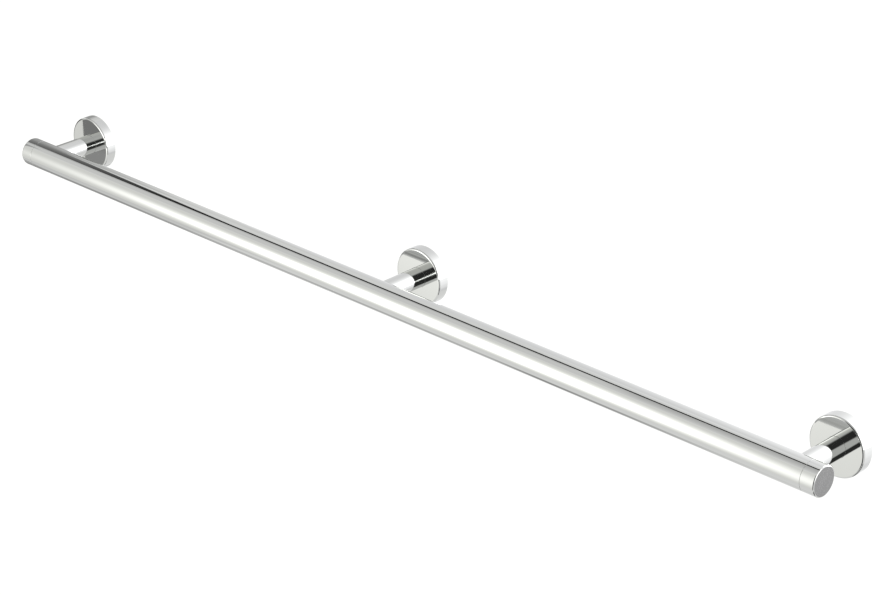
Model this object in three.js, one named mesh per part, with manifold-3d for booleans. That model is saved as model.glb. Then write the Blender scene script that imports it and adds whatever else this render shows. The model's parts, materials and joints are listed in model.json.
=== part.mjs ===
// A straight wall-mounted grab rail. A round tube stands on three round posts, and each post is
// locked on the spigot of a screwed wall plate that a sliding round cover hides.
//
// Millimetres. X runs along the rail, +Y points into the wall and +Z is up. The origin is on the
// wall plane, on the axis of the middle post.

import * as THREE from 'three';
import { mergeVertices } from 'three/addons/utils/BufferGeometryUtils.js';
import Module from 'manifold-3d';

const wasm = await Module();
wasm.setup();

// ---------------------------------------------------------------- driving dimensions

const GAP = 0.3; // clearance wherever two pieces meet
const BEVEL = 1; // edge of the covers and the end caps
const CHAMFER = 0.5; // edge of the small turned pieces
const PAST = 1; // how far a cutting tool runs past the face it cuts

const RAIL_LENGTH = 1150;
const RAIL_RADIUS = 16;
const RAIL_PROJECTION = 89; // wall to the front of the rail
const TUBE_WALL = 1.5;
const CAP_BAND = 16; // visible length of an end cap
const CAP_FACE_WALL = 5;
const CAP_PLUG_LENGTH = 7.5; // how far the cap's plug goes into the tube
const CAP_PLUG_WALL = 1.4;
const CAP_RING_INSET = 3.3; // tube end to the middle of the plug's ring

const POST_PITCH = 543.5; // between neighbouring posts
const POST_RADIUS = 11;
const POST_BORE_RADIUS = 8;
const POST_BORE_DEPTH = 46; // wall to the web that the screw head pulls on

const COVER_RADIUS = 31.5;
const COVER_HEIGHT = 13; // wall to the cover's face
const COVER_WALL = 1.5;
const COLLAR_HEIGHT = 3.3;
const COLLAR_WALL = 1.2;
const GLIDE_WALL = 2.2;

const PLATE_RADIUS = 28.5;
const PLATE_HEIGHT = 5;
const SPIGOT_LENGTH = 27; // wall to the spigot's end
const HOLE_COUNT = 3; // countersunk holes for wall screws
const HOLE_CIRCLE_RADIUS = 20;
const HOLE_RADIUS = 2.75;
const SINK_RADIUS = 5.2;

const RING_SECTION = 2; // thickness of every rubber ring
const RING_SIDES = 6;

// M8 socket head screw, split washer and block that pull the tube onto the post
const M8_RADIUS = 4;
const M8_LENGTH = 25;
const M8_HEAD_RADIUS = 6.5;
const M8_HEAD_HEIGHT = 8;
const M8_SOCKET_FLATS = 6;
const M8_SOCKET_DEPTH = 4;
const WASHER_RADIUS = 7.4;
const WASHER_HEIGHT = 2;
const WASHER_SLIT = 1.2;
const SADDLE_LENGTH = 14;
const SADDLE_HEIGHT = 7.2;

// M4 grub screw that locks the post on the spigot
const M4_RADIUS = 2;
const M4_SOCKET_FLATS = 2;
const M4_SOCKET_DEPTH = 1.5;
const GRUB_HEIGHT = 8.4; // wall to the grub screw's axis
const GRUB_POINT = 1.2; // length of its cone point, and depth of the groove for it
const GRUB_SINK = 0.2; // how far it lies under the post's surface

const FINE = 32; // facets round the large turned pieces
const COARSE = 16; // facets round the screws and their holes

// ---------------------------------------------------------------- derived places

const RAIL_Y = RAIL_RADIUS - RAIL_PROJECTION;
const TUBE_BORE_RADIUS = RAIL_RADIUS - TUBE_WALL;
const TUBE_END = RAIL_LENGTH / 2 - CAP_BAND;
const CAP_PLUG_RADIUS = TUBE_BORE_RADIUS - GAP;
const CAP_RING_X = TUBE_END - CAP_RING_INSET;
const SPIGOT_RADIUS = POST_BORE_RADIUS - GAP;
const COVER_BORE_RADIUS = POST_RADIUS + GAP;
const COVER_INSIDE_RADIUS = COVER_RADIUS - COVER_WALL;
const GLIDE_RADIUS = COVER_BORE_RADIUS + GLIDE_WALL;
const COVER_RING_Y = -PLATE_HEIGHT / 2;
const RING_GROOVE_HALF = RING_SECTION / 2 + GAP;
const WASHER_Y = GAP - POST_BORE_DEPTH;
const SCREW_SEAT_Y = WASHER_Y + WASHER_HEIGHT + GAP;

// ---------------------------------------------------------------- solids

// Twice the area that a closed outline of [radius, height] points goes round, signed.
function turningSense(outline) {
  return outline.reduce((sum, [r, y], i) => {
    const [nextR, nextY] = outline[(i + 1) % outline.length];
    return sum + r * nextY - nextR * y;
  }, 0);
}

// An outline of [radius, height] points turned about the Y axis.
function turned(outline, facets = FINE) {
  const points = outline.map(([r, y]) => new THREE.Vector2(r, y));
  if (turningSense(outline) < 0) points.reverse();
  return new THREE.LatheGeometry([...points, points[0].clone()], facets);
}

function cylinder(radius, fromY, toY, facets = FINE) {
  return turned([[0, fromY], [radius, fromY], [radius, toY], [0, toY]], facets);
}

function hexagon(acrossFlats, fromY, toY) {
  return cylinder(acrossFlats / Math.sqrt(3), fromY, toY, 6);
}

function box(sizeX, sizeY, sizeZ, x, y, z) {
  return new THREE.BoxGeometry(sizeX, sizeY, sizeZ).translate(x, y, z);
}

// Turns a piece that was made about the Y axis onto the rail's axis.
function ontoRail(geometry) {
  return geometry.rotateZ(-Math.PI / 2).translate(0, RAIL_Y, 0);
}

// Turns a piece that was made about the Y axis to point straight down from the post's axis.
function downFromPost(geometry) {
  return geometry.rotateX(-Math.PI / 2).translate(0, -GRUB_HEIGHT, 0);
}

function toSolid(geometry) {
  const bare = geometry.clone();
  bare.deleteAttribute('normal');
  bare.deleteAttribute('uv');
  const merged = mergeVertices(bare, 1e-4);
  const index = merged.index.array;
  const corners = [];
  for (let i = 0; i < index.length; i += 3) {
    const [a, b, c] = index.subarray(i, i + 3);
    // the triangles that a turned outline leaves on its axis have no area
    if (a !== b && b !== c && c !== a) corners.push(a, b, c);
  }
  return new wasm.Manifold(new wasm.Mesh({
    numProp: 3,
    vertProperties: new Float32Array(merged.attributes.position.array),
    triVerts: new Uint32Array(corners),
  }));
}

function toGeometry(solid) {
  const { vertProperties, triVerts } = solid.getMesh();
  const geometry = new THREE.BufferGeometry();
  geometry.setAttribute('position', new THREE.BufferAttribute(vertProperties, 3));
  geometry.setIndex(new THREE.BufferAttribute(triVerts, 1));
  geometry.computeVertexNormals();
  return geometry;
}

function cut(geometry, ...tools) {
  return toGeometry(tools.reduce((rest, tool) => rest.subtract(toSolid(tool)), toSolid(geometry)));
}

function common(geometry, other) {
  return toGeometry(toSolid(geometry).intersect(toSolid(other)));
}

// A round rubber ring about the Y axis, given its outer radius and where its middle lies.
function rubberRing(outerRadius, y) {
  const thick = RING_SECTION / 2;
  return turned(Array.from({ length: RING_SIDES }, (_, i) => {
    const turn = (2 * Math.PI * i) / RING_SIDES;
    return [outerRadius - thick + thick * Math.cos(turn), y + thick * Math.sin(turn)];
  }));
}

// ---------------------------------------------------------------- rail

// Straight tube, drilled through its back wall for the screw of each post.
function railTube() {
  const end = TUBE_END - GAP / 2;
  const tube = ontoRail(turned([
    [TUBE_BORE_RADIUS, -end],
    [RAIL_RADIUS, -end],
    [RAIL_RADIUS, end],
    [TUBE_BORE_RADIUS, end],
  ]));
  const insideY = RAIL_Y + TUBE_BORE_RADIUS;
  const hole = cylinder(M8_RADIUS + 2 * GAP, insideY - PAST, insideY + TUBE_WALL + PAST, COARSE);
  const holes = [-POST_PITCH, 0, POST_PITCH].map((x) => hole.clone().translate(x, 0, 0));
  return cut(tube, ...holes);
}

// Turned cap: a band that carries on the tube, a bevelled end face and a hollow grooved plug.
function endCap() {
  const end = RAIL_LENGTH / 2;
  const plugEnd = TUBE_END - CAP_PLUG_LENGTH;
  const grooveRadius = CAP_PLUG_RADIUS - RING_SECTION - GAP;
  const hollowRadius = grooveRadius - CAP_PLUG_WALL;
  return ontoRail(turned([
    [0, end],
    [RAIL_RADIUS - BEVEL, end],
    [RAIL_RADIUS, end - BEVEL],
    [RAIL_RADIUS, TUBE_END + GAP / 2],
    [CAP_PLUG_RADIUS, TUBE_END + GAP / 2],
    [CAP_PLUG_RADIUS, CAP_RING_X + RING_GROOVE_HALF],
    [grooveRadius, CAP_RING_X + RING_GROOVE_HALF],
    [grooveRadius, CAP_RING_X - RING_GROOVE_HALF],
    [CAP_PLUG_RADIUS, CAP_RING_X - RING_GROOVE_HALF],
    [CAP_PLUG_RADIUS, plugEnd],
    [hollowRadius, plugEnd],
    [hollowRadius, end - CAP_FACE_WALL],
    [0, end - CAP_FACE_WALL],
  ]));
}

function capRing() {
  return ontoRail(rubberRing(CAP_PLUG_RADIUS, CAP_RING_X));
}

// ---------------------------------------------------------------- post and its fixings

// Post: bored from the wall end, with a web for the screw, coped to the back of the rail.
function post() {
  const foot = -(PLATE_HEIGHT + GAP);
  const beyondCope = RAIL_Y + POST_RADIUS;
  const screwHoleRadius = M8_RADIUS + GAP;
  const blank = turned([
    [POST_BORE_RADIUS, foot],
    [POST_RADIUS - CHAMFER, foot],
    [POST_RADIUS, foot - CHAMFER],
    [POST_RADIUS, beyondCope],
    [screwHoleRadius, beyondCope],
    [screwHoleRadius, -POST_BORE_DEPTH],
    [POST_BORE_RADIUS, -POST_BORE_DEPTH],
  ]);
  const cope = ontoRail(cylinder(RAIL_RADIUS + GAP, -2 * POST_RADIUS, 2 * POST_RADIUS));
  const grubHole = downFromPost(cylinder(M4_RADIUS, SPIGOT_RADIUS - PAST, POST_RADIUS + PAST, COARSE));
  return cut(blank, cope, grubHole);
}

// Cone-point grub screw, flush with the post, its point in the spigot's groove.
function grubScrew() {
  const outer = POST_RADIUS - GRUB_SINK;
  const radius = M4_RADIUS - GAP;
  const point = SPIGOT_RADIUS - GRUB_POINT + 2 * GAP;
  const body = turned([
    [0, point],
    [GAP, point],
    [radius, point + radius - GAP],
    [radius, outer],
    [0, outer],
  ], COARSE);
  return downFromPost(cut(body, hexagon(M4_SOCKET_FLATS, outer - M4_SOCKET_DEPTH, outer + PAST)));
}

// Socket head screw, its head towards the wall and its shank through web, tube and saddle.
function postScrew() {
  const top = SCREW_SEAT_Y + M8_HEAD_HEIGHT;
  const end = SCREW_SEAT_Y - M8_LENGTH;
  const body = turned([
    [0, end],
    [M8_RADIUS - CHAMFER, end],
    [M8_RADIUS, end + CHAMFER],
    [M8_RADIUS, SCREW_SEAT_Y],
    [M8_HEAD_RADIUS, SCREW_SEAT_Y],
    [M8_HEAD_RADIUS, top - CHAMFER],
    [M8_HEAD_RADIUS - CHAMFER, top],
    [0, top],
  ], COARSE);
  return cut(body, hexagon(M8_SOCKET_FLATS, top - M8_SOCKET_DEPTH, top + PAST));
}

// Split spring washer under the screw head.
function springWasher() {
  const inner = M8_RADIUS + GAP;
  const ring = turned([
    [inner, WASHER_Y],
    [WASHER_RADIUS, WASHER_Y],
    [WASHER_RADIUS, WASHER_Y + WASHER_HEIGHT],
    [inner, WASHER_Y + WASHER_HEIGHT],
  ], COARSE);
  const middleY = WASHER_Y + WASHER_HEIGHT / 2;
  const slit = box(WASHER_RADIUS, 2 * WASHER_HEIGHT, WASHER_SLIT, WASHER_RADIUS, middleY, 0);
  return cut(ring, slit);
}

// Threaded block that fits the inside of the tube.
function saddleNut() {
  const outside = RAIL_Y + CAP_PLUG_RADIUS;
  const inside = outside - SADDLE_HEIGHT;
  const middleY = (outside + inside) / 2;
  const round = ontoRail(cylinder(CAP_PLUG_RADIUS, -SADDLE_LENGTH / 2, SADDLE_LENGTH / 2));
  const wallSide = box(2 * SADDLE_LENGTH, SADDLE_HEIGHT, 2 * RAIL_RADIUS, 0, middleY, 0);
  const thread = cylinder(M8_RADIUS + GAP, inside - PAST, outside + PAST, COARSE);
  return cut(common(round, wallSide), thread);
}

// ---------------------------------------------------------------- wall plate and cover

// A hole with a countersink in the plate's front, about the Y axis.
function screwHole() {
  const front = -PLATE_HEIGHT;
  return turned([
    [0, PAST],
    [HOLE_RADIUS, PAST],
    [HOLE_RADIUS, front + SINK_RADIUS - HOLE_RADIUS],
    [SINK_RADIUS + PAST, front - PAST],
    [0, front - PAST],
  ], COARSE);
}

// Round plate with a grooved rim, and a spigot with a groove for the grub screw.
function wallBase() {
  const front = -PLATE_HEIGHT;
  const ringGrooveRadius = COVER_INSIDE_RADIUS - RING_SECTION - 2 * GAP;
  const body = turned([
    [0, 0],
    [PLATE_RADIUS, 0],
    [PLATE_RADIUS, COVER_RING_Y + RING_GROOVE_HALF],
    [ringGrooveRadius, COVER_RING_Y + RING_GROOVE_HALF],
    [ringGrooveRadius, COVER_RING_Y - RING_GROOVE_HALF],
    [PLATE_RADIUS, COVER_RING_Y - RING_GROOVE_HALF],
    [PLATE_RADIUS, front],
    [SPIGOT_RADIUS, front],
    [SPIGOT_RADIUS, -GRUB_HEIGHT + GRUB_POINT],
    [SPIGOT_RADIUS - GRUB_POINT, -GRUB_HEIGHT],
    [SPIGOT_RADIUS, -GRUB_HEIGHT - GRUB_POINT],
    [SPIGOT_RADIUS, BEVEL - SPIGOT_LENGTH],
    [SPIGOT_RADIUS - BEVEL, -SPIGOT_LENGTH],
    [0, -SPIGOT_LENGTH],
  ]);
  const holes = Array.from({ length: HOLE_COUNT }, (_, i) => (
    screwHole().translate(0, 0, HOLE_CIRCLE_RADIUS).rotateY((2 * Math.PI * i) / HOLE_COUNT)
  ));
  return cut(body, ...holes);
}

function coverRing() {
  return rubberRing(COVER_INSIDE_RADIUS - GAP, COVER_RING_Y);
}

// Drawn cup with a bevelled flat face, a hole for the post and a collar round that hole.
function cover() {
  const face = -COVER_HEIGHT;
  const inside = face + COVER_WALL;
  const collarBore = GLIDE_RADIUS + GAP;
  return turned([
    [COVER_INSIDE_RADIUS, -GAP],
    [COVER_RADIUS, -GAP],
    [COVER_RADIUS, face + BEVEL],
    [COVER_RADIUS - BEVEL, face],
    [COVER_BORE_RADIUS, face],
    [COVER_BORE_RADIUS, inside],
    [collarBore, inside],
    [collarBore, inside + COLLAR_HEIGHT],
    [collarBore + COLLAR_WALL, inside + COLLAR_HEIGHT],
    [collarBore + COLLAR_WALL, inside],
    [COVER_INSIDE_RADIUS, inside],
  ]);
}

// Nylon bush in the cover's collar that runs on the post, with a lead-in on its wall side.
function coverGlide() {
  const front = COVER_WALL + GAP - COVER_HEIGHT;
  const back = front + COLLAR_HEIGHT - 2 * GAP;
  return turned([
    [COVER_BORE_RADIUS, front],
    [GLIDE_RADIUS, front],
    [GLIDE_RADIUS, back],
    [COVER_BORE_RADIUS + CHAMFER, back],
    [COVER_BORE_RADIUS, back - CHAMFER],
  ]);
}

// ---------------------------------------------------------------- finishes

function finish(color, roughness, metalness) {
  return () => new THREE.MeshStandardMaterial({ color, roughness, metalness });
}

const chrome = finish(0xd9dbde, 0.06, 1);
const platedSteel = finish(0xaeb0b1, 0.4, 1);
const stainless = finish(0xbcbdbe, 0.3, 1);
const rubber = finish(0x1c1c1d, 0.8, 0);
const nylon = finish(0xe9e6dc, 0.5, 0);

// ---------------------------------------------------------------- assembly

function piece(name, geometry, material) {
  const mesh = new THREE.Mesh(toGeometry(toSolid(geometry)), material());
  mesh.name = name;
  return mesh;
}

// Everything that stands at one post, about the post's own axis.
function station(side, x) {
  const group = new THREE.Group();
  group.add(
    piece(`wall_base_${side}`, wallBase(), platedSteel),
    piece(`cover_ring_${side}`, coverRing(), rubber),
    piece(`post_${side}`, post(), chrome),
    piece(`grub_screw_${side}`, grubScrew(), stainless),
    piece(`post_screw_${side}`, postScrew(), stainless),
    piece(`spring_washer_${side}`, springWasher(), stainless),
    piece(`saddle_nut_${side}`, saddleNut(), platedSteel),
    piece(`cover_${side}`, cover(), chrome),
    piece(`cover_glide_${side}`, coverGlide(), nylon),
  );
  group.position.x = x;
  return group;
}

// An end cap and its ring, made at the +X end and turned about the rail's middle for the other.
function railEnd(side, turn) {
  const atAxis = (geometry) => geometry.translate(0, -RAIL_Y, 0);
  const group = new THREE.Group();
  group.add(
    piece(`end_cap_${side}`, atAxis(endCap()), chrome),
    piece(`cap_ring_${side}`, atAxis(capRing()), rubber),
  );
  group.position.y = RAIL_Y;
  group.rotation.z = turn;
  return group;
}

const grabRail = new THREE.Group();
grabRail.add(
  piece('rail_tube', railTube(), chrome),
  railEnd('left', Math.PI),
  railEnd('right', 0),
  station('left', -POST_PITCH),
  station('middle', 0),
  station('right', POST_PITCH),
);

export default grabRail;
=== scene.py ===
"""A wall-mounted grab rail in buffed chrome plate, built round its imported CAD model.

Lengths are in millimetres until a mesh is made, which is in metres. X runs along the rail, +Y points
into the wall and +Z is up. Every round piece is an outline carried round an axis, with its corners
softened to the small radii that a polishing wheel or a lathe tool leaves.
"""
import json
import math

import bpy
import numpy as np
from mathutils import Matrix, Vector


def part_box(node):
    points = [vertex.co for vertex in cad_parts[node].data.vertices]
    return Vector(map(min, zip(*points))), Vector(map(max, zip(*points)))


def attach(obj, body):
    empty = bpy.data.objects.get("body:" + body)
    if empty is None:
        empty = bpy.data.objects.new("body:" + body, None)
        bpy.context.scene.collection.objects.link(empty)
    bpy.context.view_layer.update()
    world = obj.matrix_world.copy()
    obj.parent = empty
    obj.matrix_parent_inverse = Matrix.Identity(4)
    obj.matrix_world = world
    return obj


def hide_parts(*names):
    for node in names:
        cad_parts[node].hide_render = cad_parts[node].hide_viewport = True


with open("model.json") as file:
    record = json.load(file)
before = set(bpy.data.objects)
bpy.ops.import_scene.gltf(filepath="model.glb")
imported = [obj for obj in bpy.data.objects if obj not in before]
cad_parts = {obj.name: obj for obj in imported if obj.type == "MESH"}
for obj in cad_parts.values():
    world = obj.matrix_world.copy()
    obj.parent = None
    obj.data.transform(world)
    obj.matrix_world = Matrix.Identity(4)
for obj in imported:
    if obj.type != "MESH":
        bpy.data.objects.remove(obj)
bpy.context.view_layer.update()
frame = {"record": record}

MM = 0.001
FRAME_BODY = "rail_frame"


# ---------------------------------------------------------------- sizes, from the frame

def corners(node):
    """Lowest and highest corner of a CAD node in millimetres, as two arrays."""
    low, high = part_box(node)
    return np.array(low) / MM, np.array(high) / MM


STATIONS = {m["name"].rsplit("_", 1)[1]: m["pos_m"][0] / MM for m in frame["record"]["mounts"]}
TUBE_LOW, TUBE_HIGH = corners("rail_tube")
CAP_LOW, CAP_HIGH = corners("end_cap_right")
POST_HIGH = corners("post_middle")[1]
COVER_LOW, COVER_HIGH = corners("cover_middle")
GLIDE_HIGH = corners("cover_glide_middle")[1]

RAIL_RADIUS = TUBE_HIGH[2]
RAIL_Y = (TUBE_LOW[1] + TUBE_HIGH[1]) / 2
TUBE_WALL = 1.5
TUBE_END = TUBE_HIGH[0]
RAIL_END = CAP_HIGH[0]
GAP = 0.3
SLIDING_GAP = 0.08   # round a post, in the hole of its cover
SEAM = 0.15          # between the tube and an end cap
SEATING = 0.05       # how far a coped end beds into the rail's skin
POLISHED = 0.15      # radius that buffing leaves on a plated corner
TURNED = 0.2         # radius of a corner on the small turned pieces
FACED = 0.12         # radius of the corners on either side of the seam at a cap
SCREW_FACETS = 48    # steps round a screw


# ---------------------------------------------------------------- meshes

def softened(outline, radius, arc=4):
    """An outline of [r, h] corners, each but the ends turned into an arc of the given radius.

    Travelling along the outline, the material is on the left. Returns the points and, for each, the
    unit normal, which is the direction of travel turned a quarter turn to the right. An arc's points are
    its centre plus or minus its radius times the normal. A closed outline repeats its first corner last.
    """
    corner = np.array(outline, float)
    radii = np.broadcast_to(np.array(radius, float), len(corner))
    closed = np.allclose(corner[0], corner[-1])
    way = np.diff(corner, axis=0)
    length = np.linalg.norm(way, axis=1)
    way = way / length[:, None]
    points, normals = [], []
    if not closed:
        points.append(corner[:1])
        normals.append([[way[0][1], -way[0][0]]])
    first = 0 if closed else 1
    for i in range(first, len(way)):
        before, after = way[i - 1], way[i]
        turn = math.atan2(before[0] * after[1] - before[1] * after[0], before @ after)
        start = math.atan2(-before[0], before[1])
        angle = start + turn * np.linspace(0, 1, arc + 1)
        normal = np.stack([np.cos(angle), np.sin(angle)], axis=1)
        reach = radii[i] * math.tan(abs(turn) / 2)
        side = math.copysign(radii[i], turn)
        centre = corner[i] - before * reach - side * normal[0]
        points.append(centre + side * normal)
        normals.append(normal)
    if closed:
        points.append(points[0][:1])
        normals.append(normals[0][:1])
    else:
        points.append(corner[-1:])
        normals.append([[way[-1][1], -way[-1][0]]])
    return np.concatenate(points), np.concatenate(normals)


def lattice(rows, columns):
    """The four corners of each face of a grid of points stored row by row."""
    row, column = np.mgrid[0:rows - 1, 0:columns - 1]
    first = row * columns + column
    return np.stack([first, first + 1, first + columns + 1, first + columns], axis=-1).reshape(-1, 4)


def carried_round(outline, facets=96, part_of_turn=None):
    """A softened outline carried round the Y axis: x = r sin a, y = h, z = r cos a.

    It goes all the way round, or through the angles given as part_of_turn. Returns the grid's points,
    normals, faces and a map of millimetres round and along the surface.
    """
    (r, h), (nr, nh) = outline[0].T, outline[1].T
    if part_of_turn is None:
        angle = np.linspace(0, 2 * math.pi, facets + 1)
        angle[-1] = 0
    else:
        angle = np.asarray(part_of_turn)
        facets = len(angle) - 1
    s, c = np.sin(angle), np.cos(angle)
    ones = np.ones_like(s)
    points = np.stack([np.outer(r, s), np.outer(h, ones), np.outer(r, c)], axis=-1)
    normals = np.stack([np.outer(nr, s), np.outer(nh, ones), np.outer(nr, c)], axis=-1)
    along = np.concatenate([[0], np.cumsum(np.linalg.norm(np.diff(outline[0], axis=0), axis=1))])
    around = np.linspace(0, 2 * math.pi * r.max(), facets + 1)
    chart = np.stack(np.meshgrid(around, along), axis=-1)
    faces = lattice(len(r), facets + 1)
    return points.reshape(-1, 3), normals.reshape(-1, 3), faces, chart.reshape(-1, 2)


def straight(*outline):
    """An outline with no corner to soften, as points and normals."""
    return softened(list(outline), 0)


def banded(radius, start, end, rows, facing):
    """A straight outline at one radius, in even steps from start to end, facing out (1) or in (-1)."""
    heights = np.linspace(start, end, rows + 1)
    points = np.stack([np.full_like(heights, radius), heights], axis=1)
    return points, np.tile([facing, 0.0], (rows + 1, 1))


def hole_wall(near_rim, far_rim):
    """The wall of a drilled hole: straight lines from each point of one rim to its fellow on the other.

    A normal points from the wall at the hole's axis, which goes through the middles of the two rims.
    """
    rims = np.stack([near_rim, far_rim])
    middles = rims[:, :-1].mean(axis=1)
    axis = (middles[1] - middles[0]) / np.linalg.norm(middles[1] - middles[0])
    inward = middles[:, None] - rims
    inward -= (inward @ axis)[..., None] * axis
    inward /= np.linalg.norm(inward, axis=-1, keepdims=True)
    steps_round = np.linalg.norm(np.diff(near_rim, axis=0), axis=1)
    around = np.concatenate([[0], np.cumsum(steps_round)])
    chart = np.stack(np.meshgrid(around, [0, np.linalg.norm(middles[1] - middles[0])]), axis=-1)
    return rims.reshape(-1, 3), inward.reshape(-1, 3), lattice(2, len(near_rim)), chart.reshape(-1, 2)


def round_bar(radius, thick, height, sides=24):
    """Outline of a ring of round section: its points lie on a circle and its normals point from it."""
    turn = np.linspace(0, 2 * math.pi, sides + 1)
    turn[-1] = 0
    normals = np.stack([np.cos(turn), np.sin(turn)], axis=1)
    return np.array([radius, height]) + thick / 2 * normals, normals


def pierced(edge, centre, radius, to_space, rows=8):
    """A patch with one round hole, drawn in two flat coordinates.

    Each point of the closed edge is joined to the point of the hole's circle that lies toward it, in
    even steps. to_space carries the flat coordinates to points and normals. Also returns the angles.
    """
    away = edge - centre
    turn = np.arctan2(away[:, 0], away[:, 1])
    circle = centre + radius * np.stack([np.sin(turn), np.cos(turn)], axis=1)
    share = np.linspace(0, 1, rows)[:, None, None]
    flat = (circle * (1 - share) + edge * share).reshape(-1, 2)
    points, normals = to_space(flat)
    return (points, normals, lattice(rows, len(edge)), flat), turn


def rolled(radius, start, facing):
    """Carries flat coordinates, the way round and the height, onto a cylinder about the Y axis.

    The angle is start plus the way round divided by the radius. Normals face out (1) or in (-1).
    """
    def to_space(flat):
        a = start + flat[:, 0] / radius
        away = np.stack([np.sin(a), 0 * a, np.cos(a)], axis=1)
        points = np.stack([radius * away[:, 0], flat[:, 1], radius * away[:, 2]], axis=1)
        return points, away * facing
    return to_space


def round_edge(low, high, counts):
    """The closed edge of a rectangle, walked side by side in even steps."""
    (u0, v0), (u1, v1) = low, high
    u, v = np.linspace(u0, u1, counts[0] + 1), np.linspace(v0, v1, counts[1] + 1)
    sides = [np.stack(np.broadcast_arrays(*side), axis=1)[:-1] for side in (
        (u, v1), (u1, v[::-1]), (u[::-1], v0), (u0, v))]
    return np.concatenate(sides + [sides[0][:1]])


def thread(radius, depth, pitch, start, end, facets=SCREW_FACETS):
    """A screw thread about the Y axis: r = radius - depth times a triangle wave of (y / pitch - turns).

    The wave fades out over the last pitch at both ends, where the radius is its smallest.
    """
    rows = int(round((end - start) / pitch * 8)) + 1
    angle = np.linspace(0, 2 * math.pi, facets + 1)
    y, a = np.meshgrid(np.linspace(start, end, rows), angle, indexing="ij")
    wave = np.abs(2 * ((y / pitch - a / (2 * math.pi)) % 1) - 1)
    fade = np.clip(np.minimum(y - start, end - y) / pitch, 0, 1)
    r = radius - depth * (1 - (1 - wave) * fade)
    points = np.stack([r * np.sin(a), y, r * np.cos(a)], axis=-1)
    slope = np.gradient(r, y[1, 0] - y[0, 0], axis=0)
    lead = np.gradient(r, angle[1], axis=1) / r
    normals = np.stack([np.sin(a) - lead * np.cos(a), -slope, np.cos(a) + lead * np.sin(a)], axis=-1)
    normals /= np.linalg.norm(normals, axis=-1, keepdims=True)
    points[:, -1], normals[:, -1] = points[:, 0], normals[:, 0]
    chart = np.stack([radius * a, y], axis=-1).reshape(-1, 2)
    return points.reshape(-1, 3), normals.reshape(-1, 3), lattice(rows, facets + 1), chart


SOCKET_CONE = 0.15   # depth of the drill's cone under a socket, as a share of its width


def hexagon_socket(flats, rim, top, depth, facets=SCREW_FACETS):
    """The end of a screw from its rim inward: flat ring, six walls and a shallow cone for a floor.

    At the angle a, the wall stands half the flats divided by the cosine of a's distance from its middle.
    """
    angle = np.linspace(0, 2 * math.pi, facets + 1)
    off = (angle + math.pi / 6) % (math.pi / 3) - math.pi / 6
    wall = flats / 2 / np.cos(off)
    s, c = np.sin(angle), np.cos(angle)
    middle = angle - off
    floor = top - depth
    end_on, inward = (0 * s, 1, 0 * c), (-np.sin(middle), 0, -np.cos(middle))
    rings = [
        (np.full_like(wall, rim), top, *end_on),
        (wall, top, *end_on),
        (wall, top, *inward),
        (wall, floor, *inward),
        (wall, floor, *end_on),
        (0 * wall, floor - SOCKET_CONE * flats, *end_on),
    ]
    points = np.stack([np.stack([r * s, np.full_like(s, y), r * c], axis=-1) for r, y, *_ in rings])
    normals = np.stack([np.stack([nx, np.full_like(s, ny), nz], axis=-1) for *_, nx, ny, nz in rings])
    points[:, -1], normals[:, -1] = points[:, 0], normals[:, 0]
    chart = points[..., [0, 2]].reshape(-1, 2)
    return points.reshape(-1, 3), normals.reshape(-1, 3), lattice(len(rings), facets + 1), chart


def joined(*parts):
    """Several parts of one skin as one, their faces counted on."""
    starts = np.cumsum([0] + [len(p[0]) for p in parts[:-1]])
    points, normals, charts = (np.concatenate([p[i] for p in parts]) for i in (0, 1, 3))
    return points, normals, np.concatenate([p[2] + s for p, s in zip(parts, starts)]), charts


def placed(part, x=0.0, along_rail=False, turned=False):
    """A part made about the Y axis, moved to x, or laid on the rail's axis, turned to its left end."""
    points, normals, faces, chart = part
    if along_rail:
        points = np.stack([points[:, 1], points[:, 0] + RAIL_Y, points[:, 2]], axis=1)
        normals = np.stack([normals[:, 1], normals[:, 0], normals[:, 2]], axis=1)
    if turned:
        points, normals = points * [-1, 1, 1], normals * [-1, 1, 1]
    return points + [x, 0, 0], normals, faces, chart


STEPS_PER_MM = 1e4
OFF_STEP = 0.137


def made(name, part, body, slot, material, *nodes):
    """The piece as an object, its doubled points welded and each face turned to agree with its normals.

    Points count as one where they round to the same step. A little is added first, so that round sizes
    don't fall on the border between two steps.
    """
    points, normals, faces, chart = part
    key = np.round(points * STEPS_PER_MM + OFF_STEP).astype(np.int64)
    _, kept, number = np.unique(key, axis=0, return_index=True, return_inverse=True)
    number = number.reshape(-1)
    a, b, c, d = (points[faces[:, i]] for i in range(4))
    outward = np.einsum("ij,ij->i", np.cross(c - a, d - b), normals[faces].sum(axis=1))
    faces = np.where(outward[:, None] < 0, faces[:, ::-1], faces)
    welded = number[faces]
    keep = welded != np.roll(welded, 1, axis=1)
    keep &= (keep.sum(axis=1) > 2)[:, None]
    sizes = keep.sum(axis=1)
    sizes = sizes[sizes > 0]
    vertex_of, corner_of = welded[keep], faces[keep]
    mesh = bpy.data.meshes.new(name)
    mesh.vertices.add(len(kept))
    mesh.vertices.foreach_set("co", (points[kept] * MM).astype(np.float32).ravel())
    mesh.loops.add(len(vertex_of))
    mesh.loops.foreach_set("vertex_index", vertex_of.astype(np.int32))
    mesh.polygons.add(len(sizes))
    starts = np.concatenate([[0], np.cumsum(sizes)[:-1]])
    mesh.polygons.foreach_set("loop_start", starts.astype(np.int32))
    mesh.update(calc_edges=True)
    mesh.shade_smooth()
    chart_layer = mesh.uv_layers.new(name="surface")
    chart_layer.data.foreach_set("uv", (chart[corner_of] * MM).astype(np.float32).ravel())
    mesh.normals_split_custom_set(normals[corner_of].tolist())
    mesh.materials.append(material)
    piece = bpy.data.objects.new(name, mesh)
    bpy.context.scene.collection.objects.link(piece)
    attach(piece, body)
    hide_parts(*nodes)
    return piece


# ---------------------------------------------------------------- materials

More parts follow.
